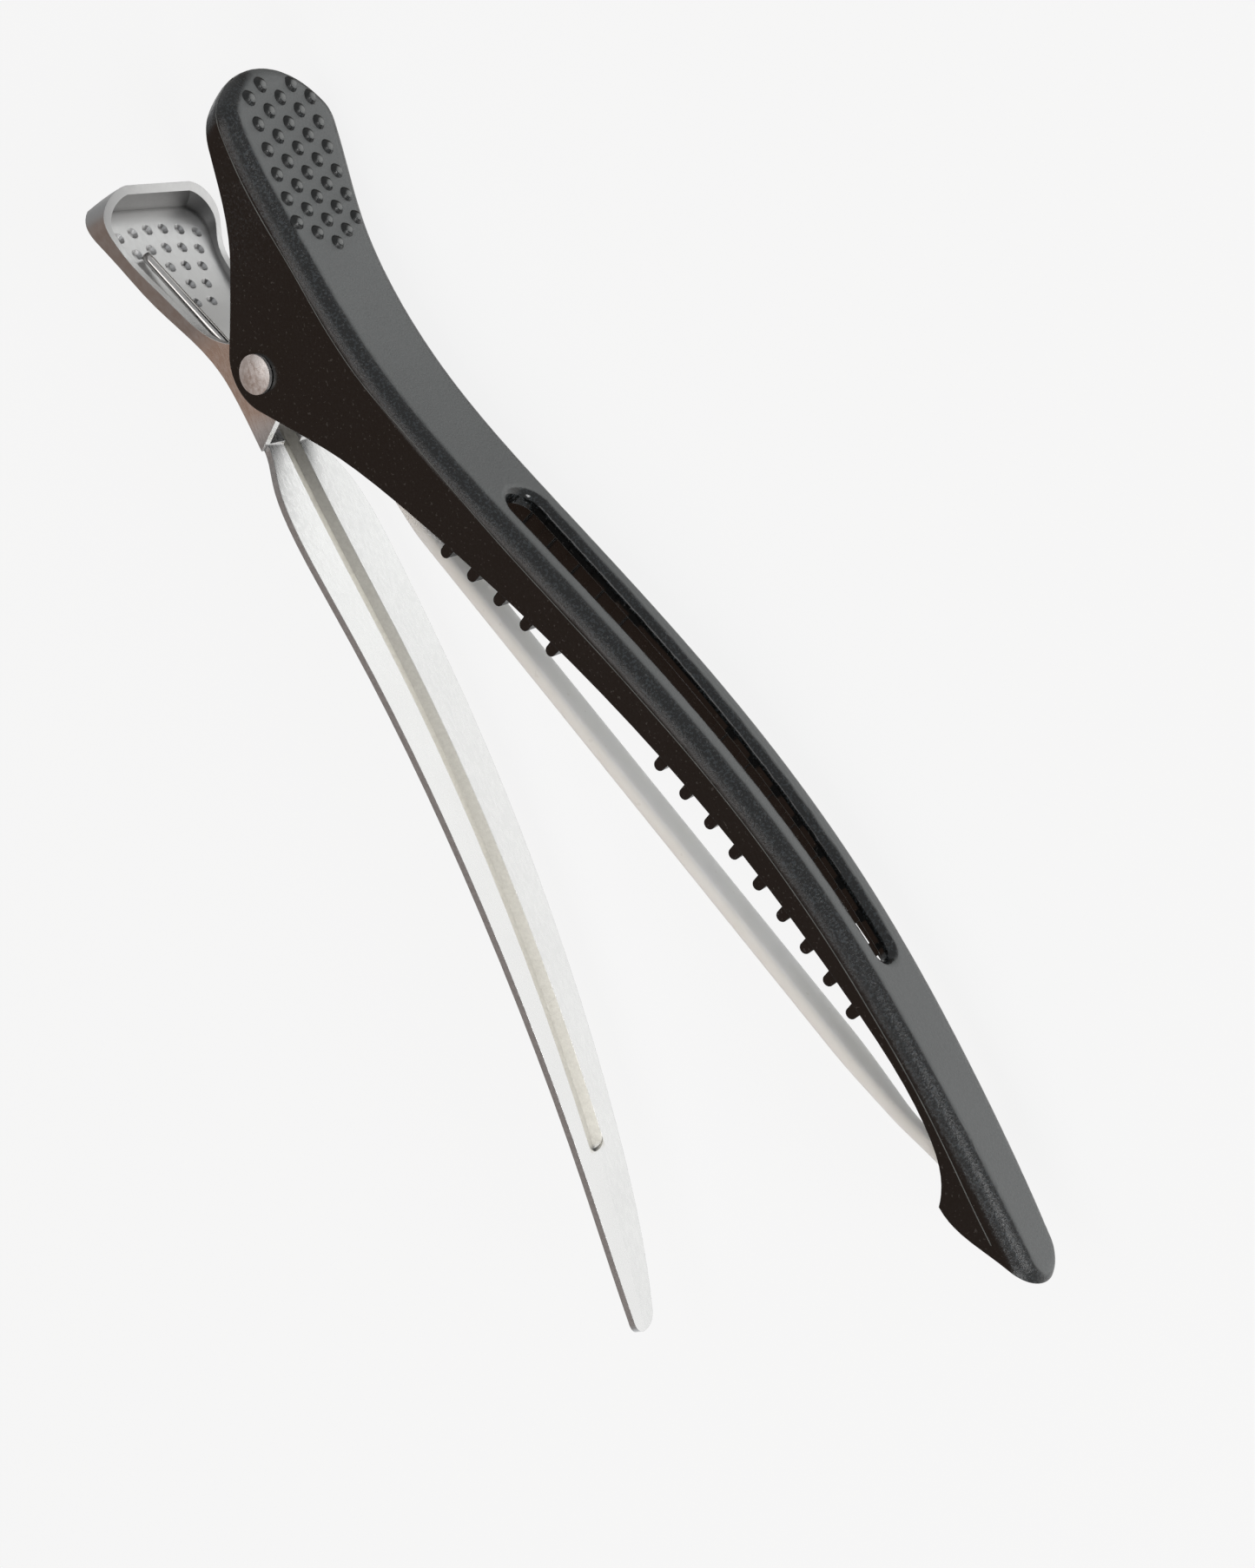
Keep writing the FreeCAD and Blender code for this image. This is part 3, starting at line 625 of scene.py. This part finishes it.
def spring_points():
    """The wire's centre line: a straight leg on each pad, and the coil round the pin between."""
    def leaves(end, side):
        return math.atan2(end[1], end[0]) + side * math.acos(coil_r / math.hypot(*end))

    start, finish = leaves(lower_leg_end, 1), leaves(upper_leg_end, -1)
    sweep = (finish - start) % (2 * math.pi) + 2 * math.pi * coil_turns
    rise = -coil_pitch * sweep / (2 * math.pi)
    n = round(sweep / coil_step)
    coil = []
    for i in range(n + 1):
        turn = start + sweep * i / n
        coil.append(Vector((coil_r * math.cos(turn), coil_r * math.sin(turn), -rise / 2 + rise * i / n)))
    low = Vector((*lower_leg_end, -rise / 2 + lower_leg_spread))
    high = Vector((*upper_leg_end, rise / 2 - upper_leg_spread))
    lower_leg = [low.lerp(coil[0], i / leg_steps) for i in range(leg_steps)]
    upper_leg = [coil[-1].lerp(high, (i + 1) / leg_steps) for i in range(leg_steps)]
    return [at_lever(*p) for p in lower_leg + coil + upper_leg]


def torsion_spring(material):
    """The whole spring as one wire, in place of the part's spring."""
    points = spring_points()
    wire = tube("spring_wire_visible", points, [wire_r * MM] * len(points), material, wire_sides)
    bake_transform(wire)
    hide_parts("torsion_spring")


def dress(node, material):
    """Puts a material on a node that keeps its own shape."""
    obj = frame["nodes"][node]
    obj.data.materials.clear()
    obj.data.materials.append(material)


# Light and camera

pale = rgb(0.896, 0.896, 0.896)
lamp_distance = 0.7
floor_half = 3.0
floor_drop = 0.3 * MM
shadow_share = 0.1

# The camera as fitted to the photograph, its place in millimetres from the hinge
camera_place = (29.09, 122.29, 139.17)
camera_right = Vector((0.3429, 0.7594, -0.5529))
camera_back = Vector((-0.0567, 0.6043, 0.7947))
camera_lens = 53.58
film_height = 36


def backdrop():
    """Plain pale for the camera. The clip itself is lit by a room that is dim above, with a warm patch,
    and pale below, with a brighter patch and a dark one where the hand would be."""
    world = bpy.data.worlds.new("studio")
    bpy.context.scene.world = world
    world.use_nodes = True
    tree = world.node_tree
    tree.nodes.clear()
    way = add(tree, "ShaderNodeTexCoord").outputs["Generated"]

    def patch(middle, low, high):
        return remap(tree, dot(tree, way, Vector(middle).normalized()), low, high)

    below = mix(tree, patch((-0.3, 0.954, 0), 0.28, 0.6), rgb(0.9, 0.9, 0.895), rgb(1.0, 1.0, 0.99))
    below = mix(tree, patch((-0.5, 0.5, -0.7), 0.93, 0.985), below, rgb(1.18, 1.2, 1.19))
    below = mix(tree, patch((-0.75, -0.1, -0.66), 0.8, 0.93), below, rgb(0.12, 0.11, 0.1))
    above = mix(tree, patch((0.06, -0.61, 0.79), 0.55, 0.95), rgb(0.44, 0.45, 0.46), rgb(0.235, 0.15, 0.11))
    room = mix(tree, patch((0, 0, -1), 0.2, 0.6), above, below)

    seen = add(tree, "ShaderNodeBackground", {"Color": pale, "Strength": 1.0})
    lit = add(tree, "ShaderNodeBackground", {"Color": room, "Strength": 1.0})
    by_camera = add(tree, "ShaderNodeLightPath").outputs["Is Camera Ray"]
    both = add(tree, "ShaderNodeMixShader", {0: by_camera, 1: lit.outputs[0], 2: seen.outputs[0]})
    add(tree, "ShaderNodeOutputWorld", {"Surface": both.outputs[0]})


def floor():
    """The pale floor under the clip: mostly one even tone, so that only a faint shadow shows."""
    half, height = floor_half, cad_box[0][2] - floor_drop
    corners = [(-half, -half, height), (half, -half, height), (half, half, height), (-half, half, height)]
    material = bpy.data.materials.new("pale_floor")
    material.use_nodes = True
    tree = material.node_tree
    tree.nodes.clear()
    even = add(tree, "ShaderNodeEmission", {"Color": rgb(0.95, 0.95, 0.95), "Strength": 1.0})
    shaded = add(tree, "ShaderNodeBsdfDiffuse", {"Color": pale})
    both = add(tree, "ShaderNodeMixShader", {0: shadow_share, 1: even.outputs[0], 2: shaded.outputs[0]})
    clear = add(tree, "ShaderNodeBsdfTransparent")
    behind = add(tree, "ShaderNodeNewGeometry").outputs["Backfacing"]
    sided = add(tree, "ShaderNodeMixShader", {0: behind, 1: both.outputs[0], 2: clear.outputs[0]})
    add(tree, "ShaderNodeOutputMaterial", {"Surface": sided.outputs[0]})
    plane = new_object("pale_floor", corners, [(0, 1, 2, 3)], material, smooth=False)
    plane.visible_glossy = plane.visible_diffuse = plane.visible_shadow = False


def lamp(name, way, size, power):
    """A round soft lamp that shines on the clip from a direction."""
    data = bpy.data.lights.new(name, "AREA")
    data.shape = "DISK"
    data.size = size
    data.energy = power
    obj = bpy.data.objects.new(name, data)
    bpy.context.scene.collection.objects.link(obj)
    obj.location = Vector(way) * lamp_distance
    obj.rotation_euler = (-obj.location).to_track_quat("-Z", "Y").to_euler()


def camera():
    data = bpy.data.cameras.new("photo_camera")
    data.sensor_fit = "VERTICAL"
    data.sensor_height = film_height
    data.lens = camera_lens
    data.clip_start = 0.005
    data.clip_end = 10
    obj = bpy.data.objects.new("photo_camera", data)
    bpy.context.scene.collection.objects.link(obj)
    back = camera_back.normalized()
    up = back.cross(camera_right.normalized()).normalized()
    matrix = Matrix((up.cross(back), up, back)).transposed().to_4x4()
    matrix.translation = at_lever(*camera_place)
    obj.matrix_world = matrix
    bpy.context.scene.camera = obj


def main():
    dress("jaw", jaw_plastic())
    dress("lever", lever_metal())
    dress("hinge_rivet", rivet_metal())
    hits = caster("jaw")
    parting_lines(hits, flash_plastic())
    grip_domes(hits, dome_plastic())
    elastic_band(band_elastic())
    torsion_spring(spring_wire())

    camera()
    backdrop()
    floor()
    lamp("key", (0.75, 0.1, 0.65), 0.4, 1.2)
    lamp("side", (0.36, 0.86, 0.36), 0.25, 1.2)
    lamp("overhead", (-0.2, -0.08, 0.96), 0.42, 0.8)
    bpy.context.scene.view_settings.view_transform = "Standard"


main()
